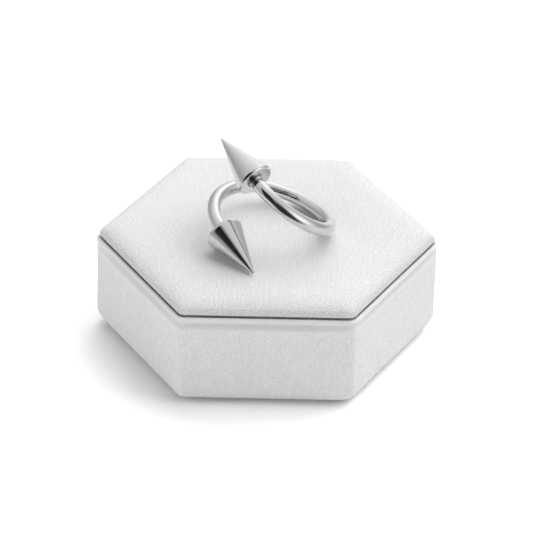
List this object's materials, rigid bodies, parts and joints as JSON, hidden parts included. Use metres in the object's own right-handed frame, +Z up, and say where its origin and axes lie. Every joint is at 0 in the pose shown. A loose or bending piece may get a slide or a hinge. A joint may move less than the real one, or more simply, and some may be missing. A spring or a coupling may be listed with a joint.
{
  "type": "spiral curved barbell on a hexagonal display block",
  "caption": "Polished steel wire wound into a spiral loop, with a screwed on cone spike at each end, lying on a padded white hexagonal display block.",
  "frame": {"origin": "the middle of the display block's underside", "axes": "+Z up, -Y towards the front side of the block, which the lower spike points at, +X to the right, where the loop lies on the pad"},
  "size_m": [0.04, 0.035, 0.0252],
  "materials": {
    "polished_steel": "mirror polished surgical steel",
    "block_cover": "white satin finished cloth, stretched flat",
    "pad_cover": "white satin finished cloth over a soft pad"
  },
  "bodies": {
    "display": {"display_base": "block_cover", "display_pad": "pad_cover", "spiral_wire": "polished_steel", "upper_collar": "polished_steel", "lower_collar": "polished_steel", "lower_spike": "polished_steel"},
    "upper_spike": {"upper_spike": "polished_steel"}
  },
  "joints": [
    {"name": "upper_spike_off", "type": "slide", "parent": "display", "child": "upper_spike", "axis": [-0.5857, 0.7187, 0.3747], "range_m": [0, 0.004]}
  ]
}
